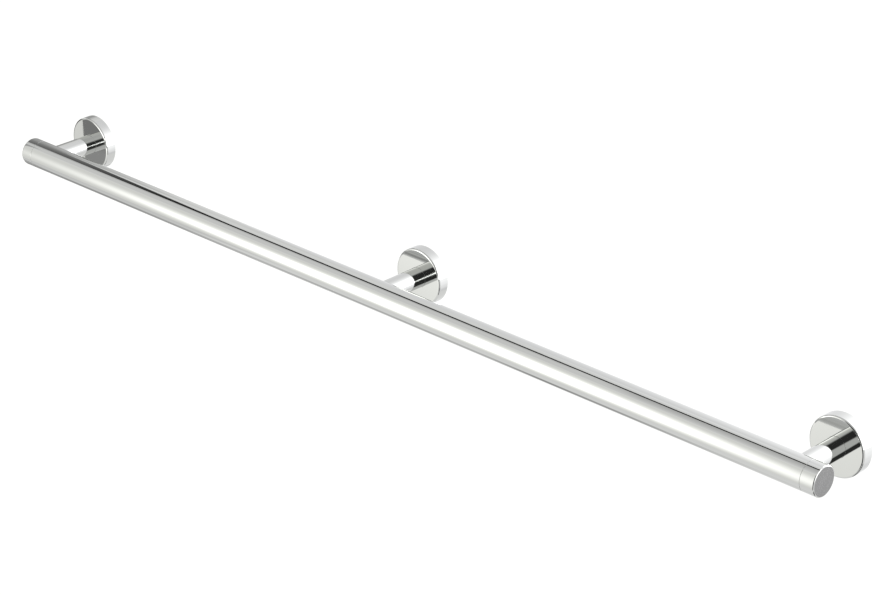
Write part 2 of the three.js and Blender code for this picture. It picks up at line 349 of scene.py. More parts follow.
def linear(code):
    """A colour given as an sRGB hex value, in linear light."""
    share = np.array([int(code[i:i + 2], 16) for i in (1, 3, 5)]) / 255
    return tuple(np.where(share <= 0.04045, share / 12.92, ((share + 0.055) / 1.055) ** 2.4)) + (1.0,)


def node(tree, kind, links=None, **settings):
    """A shader node with its settings, and its inputs given as values or as the sockets to link."""
    made_node = tree.nodes.new(kind)
    for name, value in settings.items():
        setattr(made_node, name, value)
    for name, value in (links or {}).items():
        socket = made_node.inputs[name]
        if isinstance(value, bpy.types.NodeSocket):
            tree.links.new(value, socket)
        else:
            socket.default_value = value
    return made_node


def blank_material(name):
    """A new material with an empty node tree."""
    material = bpy.data.materials.new(name)
    material.use_nodes = True
    material.node_tree.nodes.clear()
    return material, material.node_tree


def finish_material(tree, **inputs):
    """The surface shader and the output, which end the tree."""
    surface = node(tree, "ShaderNodeBsdfPrincipled", inputs)
    node(tree, "ShaderNodeOutputMaterial", {"Surface": surface.outputs["BSDF"]})


def noise(tree, place, size_mm, detail=2.0):
    """Noise whose lumps are about size_mm across."""
    return node(tree, "ShaderNodeTexNoise", {
        "Vector": place, "Scale": 1 / (size_mm * MM), "Detail": detail,
    })


def between(tree, value, low, high, start=0.35, end=0.65):
    """A value that goes from low to high while the given value goes from start to end."""
    return node(tree, "ShaderNodeMapRange", {
        "Value": value, "From Min": start, "From Max": end, "To Min": low, "To Max": high,
    }).outputs["Result"]


def blend(tree, factor, first, second):
    """A colour between two colours given as sRGB hex values or as sockets."""
    first, second = (linear(c) if isinstance(c, str) else c for c in (first, second))
    return node(tree, "ShaderNodeMix", {"Factor": factor, "A": first, "B": second},
                data_type="RGBA").outputs["Result"]


def bumped(tree, height, depth_mm):
    """Normals of a relief that is depth_mm deep."""
    return node(tree, "ShaderNodeBump", {
        "Height": height, "Strength": 1.0, "Distance": depth_mm * MM,
    }).outputs["Normal"]


def object_place(tree):
    """Where a point of the piece is, in metres."""
    return node(tree, "ShaderNodeTexCoord").outputs["Object"]


def lathe_marks(tree, size_mm):
    """Fine lines that run round a turned surface: noise drawn out along the way round."""
    surface = node(tree, "ShaderNodeUVMap", uv_map="surface").outputs["UV"]
    drawn = node(tree, "ShaderNodeVectorMath", {0: surface, 1: (0.02, 1, 1)}, operation="MULTIPLY")
    return noise(tree, drawn.outputs[0], size_mm, 3.0).outputs["Fac"]


MIRROR_ROUGHNESS = (0.025, 0.05)
FACE_DEPTH = 0.02    # how near the end of the rail the satin face, with its painted shade, begins


def chrome_plate():
    """Bright chrome over nickel on steel, buffed: a neutral mirror, faintly rippled, hardly any haze."""
    material, tree = blank_material("buffed_chrome_plate")
    place = object_place(tree)
    ripple = noise(tree, place, 14, 1.0).outputs["Fac"]
    wiped = noise(tree, place, 40, 4.0).outputs["Fac"]
    finish_material(tree, **{
        "Base Color": blend(tree, wiped, "#cacbc9", "#cccdcb"), "Metallic": 1.0,
        "Roughness": between(tree, wiped, *MIRROR_ROUGHNESS),
        "Normal": bumped(tree, ripple, 0.0004),
    })
    return material


def chrome_plate_turned_face():
    """The same plate on the end caps, whose flat face is left satin with the fine marks of its turning,
    and coloured far darker than the plate as painted shade.
    """
    material, tree = blank_material("chrome_plate_on_turned_cap")
    place = object_place(tree)
    axis_off = node(tree, "ShaderNodeVectorMath", {0: place, 1: (0, -RAIL_Y * MM, 0)}, operation="ADD")
    parts = node(tree, "ShaderNodeSeparateXYZ", {"Vector": axis_off.outputs[0]})
    across = node(tree, "ShaderNodeCombineXYZ", {"Y": parts.outputs["Y"], "Z": parts.outputs["Z"]})
    radius = node(tree, "ShaderNodeVectorMath", {0: across.outputs[0]}, operation="LENGTH")
    from_middle = node(tree, "ShaderNodeMath", {0: parts.outputs["X"]}, operation="ABSOLUTE")
    at_end = node(tree, "ShaderNodeMath", {0: from_middle.outputs[0], 1: (RAIL_END - FACE_DEPTH) * MM},
                  operation="GREATER_THAN")
    rings = node(tree, "ShaderNodeCombineXYZ", {"X": radius.outputs["Value"]})
    marks = noise(tree, rings.outputs[0], 0.35, 2.0).outputs["Fac"]
    cloud = noise(tree, place, 9, 3.0).outputs["Fac"]
    wiped = noise(tree, place, 40, 4.0).outputs["Fac"]
    # Painted shade: the face's colour is made far darker than the plate's so that it looks dim; only the
    # cloud in it is random tone.
    painted_shade_face_colour = blend(tree, cloud, "#7f7f7e", "#8a8a89")
    rough = between(tree, marks, 0.24, 0.30)
    smooth = between(tree, wiped, *MIRROR_ROUGHNESS)
    face = at_end.outputs[0]
    roughness = node(tree, "ShaderNodeMix", {"Factor": face, "A": smooth, "B": rough})
    cut = node(tree, "ShaderNodeMath", {0: marks, 1: face}, operation="MULTIPLY")
    finish_material(tree, **{
        "Base Color": blend(tree, face, "#cbccca", painted_shade_face_colour), "Metallic": 1.0,
        "Roughness": roughness.outputs["Result"],
        "Normal": bumped(tree, cut.outputs[0], 0.004),
    })
    return material


def zinc_plated_steel():
    """Turned mild steel, bright zinc plated: grey, faintly cloudy, with the marks of the lathe in it."""
    material, tree = blank_material("zinc_plated_turned_steel")
    place = object_place(tree)
    cloud = noise(tree, place, 7, 4.0).outputs["Fac"]
    marks = lathe_marks(tree, 0.4)
    finish_material(tree, **{
        "Base Color": blend(tree, between(tree, cloud, 0.0, 1.0), "#a2a5a8", "#b1b1ad"), "Metallic": 1.0,
        "Roughness": between(tree, cloud, 0.28, 0.42), "Normal": bumped(tree, marks, 0.008),
    })
    return material


def stainless_steel():
    """Cold-headed stainless steel, tumbled: soft grey with small dull patches."""
    material, tree = blank_material("stainless_cold_headed_steel")
    place = object_place(tree)
    patch = noise(tree, place, 2.5, 4.0).outputs["Fac"]
    grain = noise(tree, place, 0.25, 2.0).outputs["Fac"]
    finish_material(tree, **{
        "Base Color": blend(tree, between(tree, patch, 0.0, 1.0), "#b5b2ad", "#c2c0bb"), "Metallic": 1.0,
        "Roughness": between(tree, patch, 0.22, 0.36), "Normal": bumped(tree, grain, 0.003),
    })
    return material


def nitrile_rubber():
    """Moulded nitrile rubber: near black, matt, with a slight bloom."""
    material, tree = blank_material("nitrile_rubber_moulded")
    place = object_place(tree)
    bloom = noise(tree, place, 3, 4.0).outputs["Fac"]
    grain = noise(tree, place, 0.2, 2.0).outputs["Fac"]
    finish_material(tree, **{
        "Base Color": blend(tree, between(tree, bloom, 0.0, 1.0), "#1a1a1b", "#252526"),
        "Roughness": between(tree, bloom, 0.55, 0.72), "Normal": bumped(tree, grain, 0.006),
    })
    return material


def nylon_turned():
    """Turned natural nylon: warm white, waxy, light going a little way in, with fine tool lines."""
    material, tree = blank_material("natural_nylon_turned")
    place = object_place(tree)
    cloud = noise(tree, place, 5, 3.0).outputs["Fac"]
    marks = lathe_marks(tree, 0.25)
    finish_material(tree, **{
        "Base Color": blend(tree, between(tree, cloud, 0.0, 1.0), "#e6e1d3", "#eeebe0"),
        "Roughness": between(tree, marks, 0.4, 0.52), "Normal": bumped(tree, marks, 0.006),
        "Subsurface Weight": 0.15, "Subsurface Radius": (1.2, 1.1, 0.9), "Subsurface Scale": MM,
    })
    return material


CHROME = chrome_plate()
CAP_CHROME = chrome_plate_turned_face()
ZINC = zinc_plated_steel()
STAINLESS = stainless_steel()
RUBBER = nitrile_rubber()
NYLON = nylon_turned()


# ---------------------------------------------------------------- the rail

BORE_RADIUS = RAIL_RADIUS - TUBE_WALL
SCREW_HOLE_RADIUS = 4.3
TUBE_HOLE_RADIUS = 4.6
TUBE_FACETS = 256
END_STRETCH = 1.0        # length of the tube's end that goes with its faced end
PATCH_HALF = 8.0         # half length of the stretch of tube skin that carries a hole
PATCH_TURN = math.pi / 4
PATCH_ROWS = 12


def tube_skin(radius, facing):
    """One skin of the tube: bands that go all round, and a pierced patch behind each post.

    The patch's flat coordinates are the way round from straight back, and the way along the rail.
    """
    edges = [END_STRETCH - TUBE_END]
    for x in sorted(STATIONS.values()):
        edges += [x - PATCH_HALF, x + PATCH_HALF]
    edges.append(TUBE_END - END_STRETCH)
    per_side = TUBE_FACETS // 4
    rest_of_turn = np.linspace(math.pi / 2 + PATCH_TURN, 2.5 * math.pi - PATCH_TURN, 3 * per_side + 1)

    parts, rims = [], []
    for i, (start, end) in enumerate(zip(edges, edges[1:])):
        if i % 2 == 0:
            parts.append(carried_round(banded(radius, start, end, 1, facing), TUBE_FACETS))
            continue
        band = banded(radius, start, end, PATCH_ROWS, facing)
        parts.append(carried_round(band, part_of_turn=rest_of_turn))
        reach = radius * PATCH_TURN
        edge = round_edge((-reach, start), (reach, end), (per_side, PATCH_ROWS))
        centre = np.array([0, (start + end) / 2])
        patch, _ = pierced(edge, centre, TUBE_HOLE_RADIUS, rolled(radius, math.pi / 2, facing))
        parts.append(patch)
        rims.append(patch[0][:len(edge)])
    return parts, rims


def rail_tube():
    """Straight drawn tube, its two ends faced square, drilled through its back wall behind each post.

    A hole's wall joins the rims of the holes in its two skins.
    """
    skin, skin_rims = tube_skin(RAIL_RADIUS, 1)
    bore, bore_rims = tube_skin(BORE_RADIUS, -1)
    parts = skin + bore + [hole_wall(*rims) for rims in zip(bore_rims, skin_rims)]
    for first, last, end in ((BORE_RADIUS, RAIL_RADIUS, -TUBE_END), (RAIL_RADIUS, BORE_RADIUS, TUBE_END)):
        inset = end - math.copysign(END_STRETCH, end)
        outline = [[first, inset], [first, end], [last, end], [last, inset]]
        parts.append(carried_round(softened(outline, FACED), TUBE_FACETS))
    made("tube", placed(joined(*parts), along_rail=True),
         FRAME_BODY, "polished_chrome", CHROME, "rail_tube")


CAP_PLUG_RADIUS = BORE_RADIUS - GAP
CAP_RING_INSET = 3.3     # from the middle of the ring to the seam
CAP_RING_X = TUBE_END + GAP / 2 - CAP_RING_INSET
CAP_FACE_THICK = 5.0
CAP_PLUG_WALL = 1.4      # left under the groove
CAP_EDGE = 1.4
RING_THICK = 2.0
RING_GROOVE_HALF = RING_THICK / 2 + GAP


def end_cap(side, turned):
    """Turned cap: hollow plug with a ring groove, band in line with the tube, round edge, flat face."""
    groove = CAP_PLUG_RADIUS - RING_THICK - GAP
    hollow = groove - CAP_PLUG_WALL
    band = TUBE_END + SEAM
    outline = softened([
        [0, RAIL_END - CAP_FACE_THICK],
        [hollow, RAIL_END - CAP_FACE_THICK],
        [hollow, CAP_LOW[0]],
        [CAP_PLUG_RADIUS, CAP_LOW[0]],
        [CAP_PLUG_RADIUS, CAP_RING_X - RING_GROOVE_HALF],
        [groove, CAP_RING_X - RING_GROOVE_HALF],
        [groove, CAP_RING_X + RING_GROOVE_HALF],
        [CAP_PLUG_RADIUS, CAP_RING_X + RING_GROOVE_HALF],
        [CAP_PLUG_RADIUS, band],
        [RAIL_RADIUS, band],
        [RAIL_RADIUS, RAIL_END],
        [0, RAIL_END],
    ], [0, 0.3, 0.3, 0.3, 0.1, 0.2, 0.2, 0.1, 0.1, FACED, CAP_EDGE, 0], arc=7)
    made(f"cap_{side}", placed(carried_round(outline, TUBE_FACETS), along_rail=True, turned=turned),
         FRAME_BODY, "polished_chrome", CAP_CHROME, f"end_cap_{side}")
    ring = carried_round(round_bar(CAP_PLUG_RADIUS - RING_THICK / 2, RING_THICK, CAP_RING_X), 96)
    made(f"plug_ring_{side}", placed(ring, along_rail=True, turned=turned),
         FRAME_BODY, "ring_rubber", RUBBER, f"cap_ring_{side}")


# ---------------------------------------------------------------- posts, and what holds them

POST_RADIUS = POST_HIGH[0]
POST_FACETS = 288
POST_BORE_RADIUS = 8.0
POST_BORE_DEPTH = 46.0
GRUB_Y = -8.4
GRUB_HOLE_RADIUS = 2.0
GRUB_PATCH_HALF = 2.5
GRUB_PATCH_TURN = math.pi / 6
GRUB_PATCH_ROWS = 10
GRUB_THREAD_RADIUS = GRUB_HOLE_RADIUS - GAP / 2
GRUB_CORE_RADIUS = 1.5
GRUB_PITCH = 0.7
GRUB_SOCKET = 2.0        # across the flats
GRUB_SOCKET_DEPTH = 1.5
GRUB_SOCKET_RIM = 0.9 * GRUB_CORE_RADIUS
SCREW_THREAD_RADIUS = 4.0
SCREW_CORE_RADIUS = 3.4
SCREW_PITCH = 1.25
SCREW_HEAD_HEIGHT = 8.0
SCREW_SHANK_RADIUS = 3.95
SCREW_SOCKET = 6.0       # across the flats
SCREW_SOCKET_DEPTH = 4.0
SCREW_SOCKET_RIM = 4.6
WASHER_RISE = 0.25
WASHER_SLIT = 1.2
WASHER_FACETS = 72
BLOCK_STEPS = (16, 24)   # along and up the block that the screw pulls
LID_RINGS = 5            # rings of points across the coped end


def post(side, x):
    """Round standoff, coped to the rail and pierced on its underside for the grub screw.

    It is drawn as far as the rail's axis. Each point of that end then moves back to the rail's skin,
    y = rail axis + square root of (radius of the bed squared, less z squared). A patch of its skin
    and one of its bore are pierced, and the hole's wall joins their rims.
    """
    foot = POST_HIGH[1]
    beyond = RAIL_Y
    cope = RAIL_RADIUS - SEATING
    bottom, top = GRUB_Y + GRUB_PATCH_HALF, GRUB_Y - GRUB_PATCH_HALF
    shank = carried_round(straight([POST_RADIUS, beyond], [POST_RADIUS, top]), POST_FACETS)
    foot_skin = carried_round(softened([
        [POST_RADIUS, bottom],
        [POST_RADIUS, foot],
        [POST_BORE_RADIUS, foot],
        [POST_BORE_RADIUS, bottom],
    ], [0, 0.4, 0.3, 0]), POST_FACETS)
    inside = carried_round(softened([
        [POST_BORE_RADIUS, top],
        [POST_BORE_RADIUS, -POST_BORE_DEPTH],
        [SCREW_HOLE_RADIUS, -POST_BORE_DEPTH],
        [SCREW_HOLE_RADIUS, beyond],
    ], [0, 0.3, 0.3, 0]), POST_FACETS)
    per_side = round(POST_FACETS * GRUB_PATCH_TURN / math.pi)
    rest_of_turn = np.linspace(math.pi + GRUB_PATCH_TURN, 3 * math.pi - GRUB_PATCH_TURN,
                               POST_FACETS + 1 - per_side)
    parts, rims = [shank, foot_skin, inside], []
    for radius, facing in ((POST_BORE_RADIUS, -1), (POST_RADIUS, 1)):
        reach = radius * GRUB_PATCH_TURN
        edge = round_edge((-reach, top), (reach, bottom), (per_side, GRUB_PATCH_ROWS))
        to_space = rolled(radius, math.pi, facing)
        patch, _ = pierced(edge, np.array([0, GRUB_Y]), GRUB_HOLE_RADIUS, to_space)
        collar = banded(radius, top, bottom, GRUB_PATCH_ROWS, facing)
        parts += [patch, carried_round(collar, part_of_turn=rest_of_turn)]
        rims.append(patch[0][:len(edge)])
    parts.append(hole_wall(*rims))
    across = np.linspace(SCREW_HOLE_RADIUS, POST_RADIUS, LID_RINGS)
    end = np.stack([across, np.full_like(across, beyond)], axis=1)
    lid = carried_round((end, np.tile([0.0, -1.0], (len(end), 1))), POST_FACETS)
    points, normals, faces, chart = joined(*parts, lid)
    at_rail = np.isclose(points[:, 1], beyond)
    points[at_rail, 1] = RAIL_Y + np.sqrt(cope ** 2 - points[at_rail, 2] ** 2)
    made(f"standoff_{side}", placed((points, normals, faces, chart), x),
         FRAME_BODY, "polished_chrome", CHROME, f"post_{side}")


def grub_screw(side, x):
    """Cone-point socket set screw, laid straight down from the post's axis."""
    low, high = corners(f"grub_screw_{side}")
    tip, end = -high[2], -low[2]
    core, depth = GRUB_CORE_RADIUS, GRUB_THREAD_RADIUS - GRUB_CORE_RADIUS
    shoulder, last_turn = tip + core, end - 0.3
    rim = softened([[core, last_turn], [core, end], [GRUB_SOCKET_RIM, end]], 0.08)
    screw = joined(
        carried_round(straight([0, tip], [core, shoulder]), SCREW_FACETS),
        thread(GRUB_THREAD_RADIUS, depth, GRUB_PITCH, shoulder, last_turn),
        carried_round(rim, SCREW_FACETS),
        hexagon_socket(GRUB_SOCKET, GRUB_SOCKET_RIM, end, GRUB_SOCKET_DEPTH),
    )
    points, normals, faces, chart = screw
    laid = (np.stack([points[:, 0], points[:, 2] + GRUB_Y, -points[:, 1]], axis=1),
            np.stack([normals[:, 0], normals[:, 2], -normals[:, 1]], axis=1), faces, chart)
    made(f"set_screw_{side}", placed(laid, x),
         FRAME_BODY, "screw_steel", STAINLESS, f"grub_screw_{side}")


def post_screw(side, x):
    """Socket head screw: threaded shank, round head with a soft top edge, hexagon socket."""
    (_, tip, _), (_, top, head) = corners(f"post_screw_{side}")
    seat = top - SCREW_HEAD_HEIGHT
    core, depth = SCREW_CORE_RADIUS, SCREW_THREAD_RADIUS - SCREW_CORE_RADIUS
    first_turn, last_turn = tip + 0.8, seat - 1.5
    point = softened([[0, tip], [core - 0.4, tip], [core, first_turn]], TURNED)
    neck_and_head = softened([
        [core, last_turn],
        [SCREW_SHANK_RADIUS, seat - 1.0],
        [SCREW_SHANK_RADIUS, seat],
        [head, seat],
        [head, top],
        [SCREW_SOCKET_RIM, top],
    ], [0, 0.1, 0.3, 0.2, 0.6, 0])
    screw = joined(
        carried_round(point, SCREW_FACETS),
        thread(SCREW_THREAD_RADIUS, depth, SCREW_PITCH, first_turn, last_turn),
        carried_round(neck_and_head, SCREW_FACETS),
        hexagon_socket(SCREW_SOCKET, SCREW_SOCKET_RIM, top, SCREW_SOCKET_DEPTH),
    )
    made(f"socket_screw_{side}", placed(screw, x),
         FRAME_BODY, "screw_steel", STAINLESS, f"post_screw_{side}")


def spring_washer(side, x):
    """Split washer: a bar carried round as it climbs, y = rise times the share of a turn."""
    low, high = corners(f"spring_washer_{side}")
    inner, outer = SCREW_HOLE_RADIUS, high[2]
    thick = high[1] - low[1] - WASHER_RISE
    slit = WASHER_SLIT / 2 / inner
    outline = softened([[inner, 0], [outer, 0], [outer, thick], [inner, thick], [inner, 0]], TURNED)
    turn = np.linspace(math.pi / 2 + slit, 2.5 * math.pi - slit, WASHER_FACETS + 1)
    bar = carried_round(outline, part_of_turn=turn)
    middle = np.array([(inner + outer) / 2, thick / 2])
    ends = []
    for a, facing in ((turn[0], -1), (turn[-1], 1)):
        flat = np.concatenate([outline[0], np.tile(middle, (len(outline[0]), 1))])
        points = np.stack([flat[:, 0] * math.sin(a), flat[:, 1], flat[:, 0] * math.cos(a)], axis=1)
        way = np.array([math.cos(a), 0, -math.sin(a)]) * facing
        ends.append((points, np.tile(way, (len(points), 1)), lattice(2, len(outline[0])), flat))
    points, normals, faces, chart = joined(bar, *ends)
    share = (np.arctan2(points[:, 0], points[:, 2]) - math.pi / 2) % (2 * math.pi) / (2 * math.pi)
    points[:, 1] += low[1] + WASHER_RISE * share
    made(f"split_washer_{side}", placed((points, normals, faces, chart), x),
         FRAME_BODY, "screw_steel", STAINLESS, f"spring_washer_{side}")


def saddle_nut(side, x):
    """Block with a back as round as the tube's bore, tapped through.

    Flat coordinates are the way along the rail and the height; the round back's y is the rail axis +
    square root of (radius squared less z squared).
    """
    low, high = corners(f"saddle_nut_{side}")
    half, round_radius, hole = (high[0] - low[0]) / 2, high[1] - RAIL_Y, SCREW_HOLE_RADIUS
    flat_y = low[1]
    tall = math.sqrt(round_radius ** 2 - (flat_y - RAIL_Y) ** 2)
    edge = round_edge((-half, -tall), (half, tall), BLOCK_STEPS)

    def on_back(flat):
        y = np.sqrt(round_radius ** 2 - flat[:, 1] ** 2)
        normals = np.stack([0 * y, y, flat[:, 1]], axis=1) / round_radius
        return np.stack([flat[:, 0], RAIL_Y + y, flat[:, 1]], axis=1), normals

    def on_front(flat):
        y = np.full(len(flat), flat_y)
        return np.stack([flat[:, 0], y, flat[:, 1]], axis=1), np.tile([0.0, -1, 0], (len(flat), 1))

    back, turn = pierced(edge, np.zeros(2), hole, on_back)
    front, _ = pierced(edge, np.zeros(2), hole, on_front)
    z = np.linspace(-tall, tall, BLOCK_STEPS[1] + 1)
    flanks = []
    for facing in (-1, 1):
        rows = np.stack([np.full_like(z, flat_y), RAIL_Y + np.sqrt(round_radius ** 2 - z ** 2)])
        x_side = np.full_like(rows, half * facing)
        points = np.stack([x_side, rows, np.broadcast_to(z, rows.shape)], axis=-1)
        flanks.append((points.reshape(-1, 3), np.tile([facing, 0.0, 0], (2 * len(z), 1)),
                       lattice(2, len(z)), points[..., 1:].reshape(-1, 2)))
    s, c = np.sin(turn), np.cos(turn)
    ring = np.stack([hole * s, np.full_like(s, flat_y), hole * c], axis=1)
    rim = np.stack([hole * s, RAIL_Y + np.sqrt(round_radius ** 2 - (hole * c) ** 2), hole * c], axis=1)
    bore = (np.concatenate([ring, rim]), np.tile(np.stack([-s, 0 * s, -c], axis=1), (2, 1)),
            lattice(2, len(turn)), np.concatenate([ring, rim])[:, :2])
    made(f"clamp_block_{side}", placed(joined(back, front, *flanks, bore), x),
         FRAME_BODY, "plated_steel", ZINC, f"saddle_nut_{side}")


# ---------------------------------------------------------------- wall plate and cover

COVER_RADIUS = COVER_HIGH[0]
COVER_WALL = 1.5
COVER_EDGE = 2.0
COVER_FACETS = 320
GLIDE_RADIUS = GLIDE_HIGH[0]
LEAD_IN = 0.7
COLLAR_HEIGHT = 3.3
COLLAR_WALL = 1.2
HOLE_CIRCLE_RADIUS = 20.0
HOLE_RADIUS = 2.75
SINK_RADIUS = 5.2
HOLE_COUNT = 3
PLATE_FRONT = -5.0       # the plate's front face
NOTCH = 1.2              # depth of the groove that the grub screw's point sits in
SECTOR_NEAR = 9.6        # the pierced sectors run from here
SECTOR_FAR = 26.5        # to here
SECTOR_ROWS = 12
PLATE_FACETS = 96


def wall_base(side, x):
    """Turned plate with a grooved rim, a grooved spigot and three countersunk holes.

    The two faces are rings cut into three sectors, each pierced by its hole.
    """
    low, high = corners(f"wall_base_{side}")
    plate, tip, front, spigot = high[2], low[1], PLATE_FRONT, POST_BORE_RADIUS - GAP
    groove, middle = COVER_RADIUS - COVER_WALL - RING_THICK - 2 * GAP, front / 2
    body = [
        carried_round(softened([
            [0, tip],
            [spigot - 1, tip],
            [spigot, tip + 1],
            [spigot, GRUB_Y - NOTCH],
            [spigot - NOTCH, GRUB_Y],
            [spigot, GRUB_Y + NOTCH],
            [spigot, front],
            [SECTOR_NEAR, front],
        ], TURNED), PLATE_FACETS),
        carried_round(softened([
            [SECTOR_FAR, front],
            [plate, front],
            [plate, middle - RING_GROOVE_HALF],
            [groove, middle - RING_GROOVE_HALF],
            [groove, middle + RING_GROOVE_HALF],
            [plate, middle + RING_GROOVE_HALF],
            [plate, 0],
            [SECTOR_FAR, 0],
        ], TURNED), PLATE_FACETS),
        carried_round(straight([SECTOR_NEAR, 0], [0, 0]), PLATE_FACETS),
    ]
    half = math.pi / HOLE_COUNT
    counts = (PLATE_FACETS // HOLE_COUNT, SECTOR_ROWS)
    edge = round_edge((-half, SECTOR_NEAR), (half, SECTOR_FAR), counts)
    edge = np.stack([edge[:, 1] * np.sin(edge[:, 0]), edge[:, 1] * np.cos(edge[:, 0])], axis=1)
    centre = np.array([0, HOLE_CIRCLE_RADIUS])

    def on_face(y, facing):
        return lambda flat: (np.stack([flat[:, 0], np.full(len(flat), y), flat[:, 1]], axis=1),
                             np.tile([0.0, facing, 0], (len(flat), 1)))

    for i in range(HOLE_COUNT):
        turn = 2 * math.pi * i / HOLE_COUNT
        c, s = math.cos(turn), math.sin(turn)
        spin = np.array([[c, 0, -s], [0, 1, 0], [s, 0, c]])
        front_patch, angles = pierced(edge, centre, SINK_RADIUS, on_face(front, -1))
        back_patch, _ = pierced(edge, centre, HOLE_RADIUS, on_face(0, 1))
        wall = carried_round(softened([
            [HOLE_RADIUS, 0], [HOLE_RADIUS, front + SINK_RADIUS - HOLE_RADIUS], [SINK_RADIUS, front],
        ], [0, 0.3, 0]), part_of_turn=angles)
        wall = (wall[0] + [0, 0, HOLE_CIRCLE_RADIUS], *wall[1:])
        for points, normals, faces, chart in (front_patch, back_patch, wall):
            radius = np.hypot(points[:, 0], points[:, 2])
            way_round = np.stack([np.arctan2(points[:, 0], points[:, 2]) * plate, radius], axis=1)
            body.append((points @ spin, normals @ spin, faces, way_round))
    made(f"base_plate_{side}", placed(joined(*body), x),
         FRAME_BODY, "plated_steel", ZINC, f"wall_base_{side}")
    ring = carried_round(round_bar(groove + GAP + RING_THICK / 2, RING_THICK, middle), 128)
    made(f"plate_ring_{side}", placed(ring, x),
         FRAME_BODY, "ring_rubber", RUBBER, f"cover_ring_{side}")


def cover(side, x):
    """Drawn cup: flat face with a rounded rim, a hole for the post and a collar round the hole."""
    face, rim = COVER_LOW[1], COVER_HIGH[1]
    inside = face + COVER_WALL
    inner = COVER_RADIUS - COVER_WALL
    collar = GLIDE_RADIUS + GAP
    bore = POST_RADIUS + SLIDING_GAP
    outline = softened([
        [inner, rim],
        [inner, inside],
        [collar + COLLAR_WALL, inside],
        [collar + COLLAR_WALL, inside + COLLAR_HEIGHT],
        [collar, inside + COLLAR_HEIGHT],
        [collar, inside],
        [bore, inside],
        [bore, face],
        [COVER_RADIUS, face],
        [COVER_RADIUS, rim],
        [inner, rim],
    ], [POLISHED, 0.6, 0.3, 0.2, 0.2, 0.1, 0.1, 0.1, COVER_EDGE, POLISHED, POLISHED], arc=8)
    made(f"flange_cover_{side}", placed(carried_round(outline, COVER_FACETS), x),
         f"{side}_cover", "polished_chrome", CHROME, f"cover_{side}")


def cover_glide(side, x):
    """Turned bush that runs on the post, with a lead-in on its wall side."""
    low, high = corners(f"cover_glide_{side}")
    bore = POST_RADIUS + SLIDING_GAP
    outline = softened([
        [bore, low[1]],
        [GLIDE_RADIUS, low[1]],
        [GLIDE_RADIUS, high[1]],
        [bore + LEAD_IN, high[1]],
        [bore, high[1] - LEAD_IN],
        [bore, low[1]],
    ], TURNED)
    made(f"bush_{side}", placed(carried_round(outline, 96), x),
         f"{side}_cover", "bush_nylon", NYLON, f"cover_glide_{side}")


rail_tube()
end_cap("right", False)
end_cap("left", True)
for side, x in STATIONS.items():
    post(side, x)
    grub_screw(side, x)
    post_screw(side, x)
    spring_washer(side, x)
    saddle_nut(side, x)
    wall_base(side, x)
    cover(side, x)
    cover_glide(side, x)


# ---------------------------------------------------------------- camera and studio

def camera(azimuth, elevation, roll, distance, aim, lens):
    """A camera on a sphere round the aim point. Azimuth 0 looks along +Y, angles are in degrees."""
    a, e, t = (math.radians(v) for v in (azimuth, elevation, roll))
    back = Vector((math.sin(a) * math.cos(e), -math.cos(a) * math.cos(e), math.sin(e)))
    level = (-back).cross(Vector((0, 0, 1))).normalized()
    upright = level.cross(-back)
    right = level * math.cos(t) + upright * math.sin(t)
    up = upright * math.cos(t) - level * math.sin(t)
    data = bpy.data.cameras.new("view")
    data.lens = lens
    data.clip_start, data.clip_end = 0.05, 60
    holder = bpy.data.objects.new("view", data)
    bpy.context.scene.collection.objects.link(holder)
    holder.matrix_world = Matrix.Translation(Vector(aim) + back * distance) @ Matrix(
        (right, up, back)).transposed().to_4x4()
    bpy.context.scene.camera = holder


camera(azimuth=44.28, elevation=25.31, roll=-0.38, distance=2.8315,
       aim=(0.02988, 0, -0.01831), lens=108.55)


def card(name, points, material):
    """A flat four-cornered card that belongs to the studio. Only reflections see it."""
    mesh = bpy.data.meshes.new(name)
    mesh.from_pydata([tuple(p) for p in points], [], [(0, 1, 2, 3)])
    mesh.materials.append(material)
    flat = bpy.data.objects.new(name, mesh)
    bpy.context.scene.collection.objects.link(flat)
    flat.visible_camera = flat.visible_diffuse = flat.visible_shadow = flat.visible_transmission = False


def glowing(name, colour, strength_of):
    """A material that gives light. strength_of builds its strength from the Object coordinates."""
    material, tree = blank_material(name)
    material.cycles.emission_sampling = "NONE"
    strength = strength_of(tree, object_place(tree))
    light = node(tree, "ShaderNodeEmission", {"Color": linear(colour), "Strength": strength})
    node(tree, "ShaderNodeOutputMaterial", {"Surface": light.outputs["Emission"]})
    return material


def lamp_behind_cloth(centre, spread, level, peak, core):
    """Strength level + peak b + core b^4, brightest at the centre.

    b is e to the minus half of the squared distance, which is counted in spreads.
    """
    def strength_of(tree, place):
        away = node(tree, "ShaderNodeVectorMath", {0: place, 1: centre}, operation="SUBTRACT")
        share = node(tree, "ShaderNodeVectorMath", {0: away.outputs[0], 1: spread}, operation="DIVIDE")
        square = node(tree, "ShaderNodeVectorMath", {0: share.outputs[0], 1: share.outputs[0]},
                      operation="DOT_PRODUCT")
        half = node(tree, "ShaderNodeMath", {0: square.outputs["Value"], 1: -0.5}, operation="MULTIPLY")
        bell = node(tree, "ShaderNodeMath", {0: half.outputs[0]}, operation="EXPONENT")
        narrow = node(tree, "ShaderNodeMath", {0: bell.outputs[0], 1: 4.0}, operation="POWER")
        wide = node(tree, "ShaderNodeMath", {0: bell.outputs[0], 1: peak, 2: level},
                    operation="MULTIPLY_ADD")
        return node(tree, "ShaderNodeMath", {0: narrow.outputs[0], 1: core, 2: wide.outputs[0]},
                    operation="MULTIPLY_ADD").outputs[0]
    return strength_of


